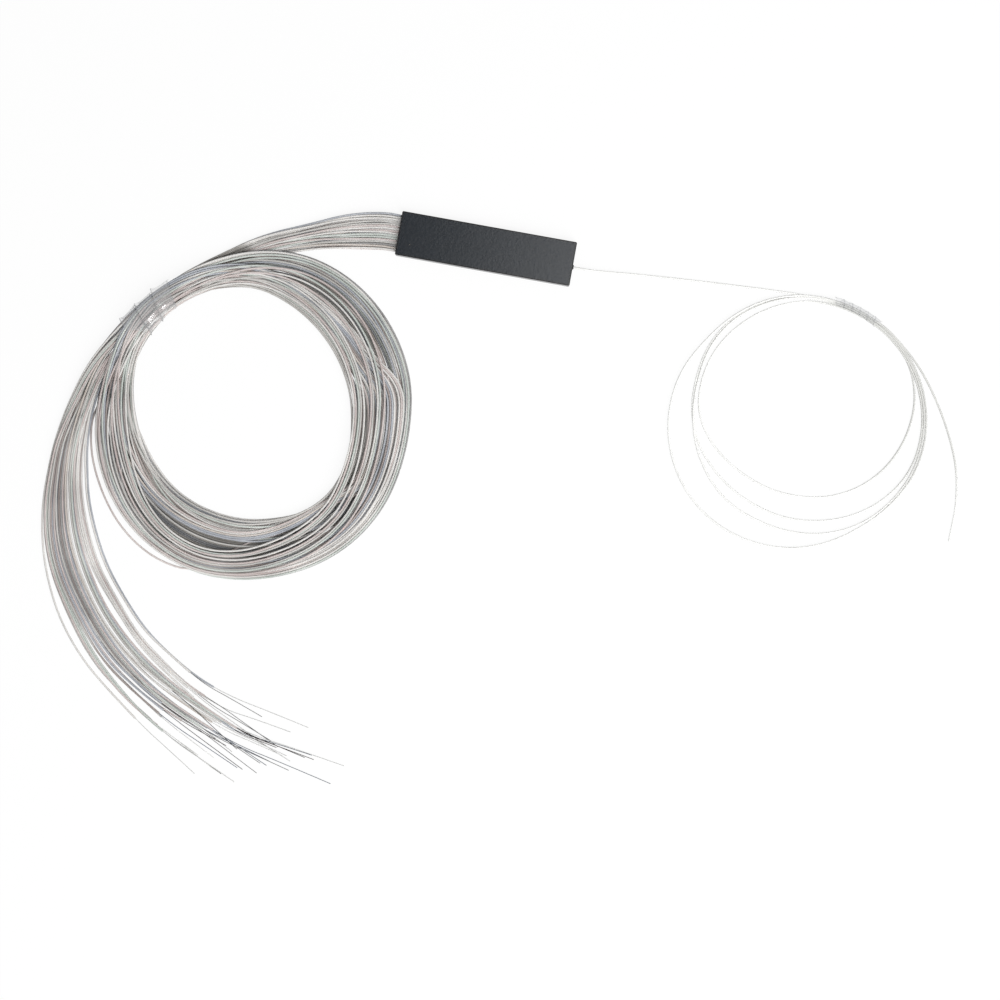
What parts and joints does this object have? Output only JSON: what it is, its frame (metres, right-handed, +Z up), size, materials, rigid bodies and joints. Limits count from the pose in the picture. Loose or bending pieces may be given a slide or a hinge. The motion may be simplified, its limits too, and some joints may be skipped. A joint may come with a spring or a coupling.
{
  "type": "plc fibre splitter",
  "caption": "Compact optical splitter module: one fibre tube enters a slim black housing and is divided into many loose output tubes, coiled and tied with film",
  "frame": {"origin": "Centre of the housing's underside, on the table it lies on", "axes": "+X along the housing towards the input tube, +Y across the housing, +Z up out of its plain top"},
  "size_m": [0.4082, 0.2676, 0.0085],
  "materials": {
    "housing": "fine-grained satin black moulding",
    "comb": "matte",
    "grommet": "matte",
    "steel": "drawn",
    "silicone": "soft translucent",
    "chip": "polished end faces",
    "glass": "polished",
    "fibre_coat": "coloured fibre coating",
    "ribbon": "clear ribbon matrix",
    "film": "clear wrinkled wrapping film",
    "input_tube": "translucent white tube",
    "tube_blue": "translucent tube over a blue fibre",
    "tube_orange": "translucent tube over an orange fibre",
    "tube_green": "translucent tube over a green fibre",
    "tube_brown": "translucent tube over a brown fibre",
    "tube_grey": "translucent tube over a grey fibre",
    "tube_white": "translucent tube over a white fibre",
    "tube_pink": "translucent tube over a red fibre",
    "tube_dark": "translucent tube over a black fibre"
  },
  "bodies": {
    "root": {"chip_cover_glass": "glass", "housing_base": "housing", "housing_cover": "housing", "input_capillary": "glass", "input_coil": "input_tube", "input_coil_tie": "film", "input_fibre": "fibre_coat", "input_grommet": "grommet", "input_tube_lead": "input_tube", "input_tube_tail": "input_tube", "output_array_base": "glass", "output_array_lid": "glass", "output_coil": "tube_white", "output_coil_tie": "film", "output_comb": "comb", "output_fibre_ends": "fibre_coat", "output_lead_bundle": "tube_white", "output_ribbon_1": "ribbon", "output_ribbon_2": "ribbon", "output_ribbon_3": "ribbon", "output_ribbon_4": "ribbon", "output_tail_bundle": "tube_white", "output_tube_01": "tube_blue", "output_tube_02": "tube_orange", "output_tube_03": "tube_green", "output_tube_04": "tube_brown", "output_tube_05": "tube_grey", "output_tube_06": "tube_white", "output_tube_07": "tube_pink", "output_tube_08": "tube_dark", "output_tube_09": "tube_blue", "output_tube_10": "tube_orange", "output_tube_11": "tube_green", "output_tube_12": "tube_brown", "output_tube_13": "tube_grey", "output_tube_14": "tube_white", "output_tube_15": "tube_pink", "output_tube_16": "tube_dark", "output_tube_17": "tube_blue", "output_tube_18": "tube_orange", "output_tube_19": "tube_green", "output_tube_20": "tube_brown", "output_tube_21": "tube_grey", "output_tube_22": "tube_white", "output_tube_23": "tube_pink", "output_tube_24": "tube_dark", "output_tube_25": "tube_blue", "output_tube_26": "tube_orange", "output_tube_27": "tube_green", "output_tube_28": "tube_brown", "output_tube_29": "tube_grey", "output_tube_30": "tube_white", "output_tube_31": "tube_pink", "output_tube_32": "tube_dark", "silicone_bed": "silicone", "sleeve_plug_input": "silicone", "sleeve_plug_output": "silicone", "splitter_chip": "chip", "steel_sleeve": "steel"}
  },
  "joints": []
}
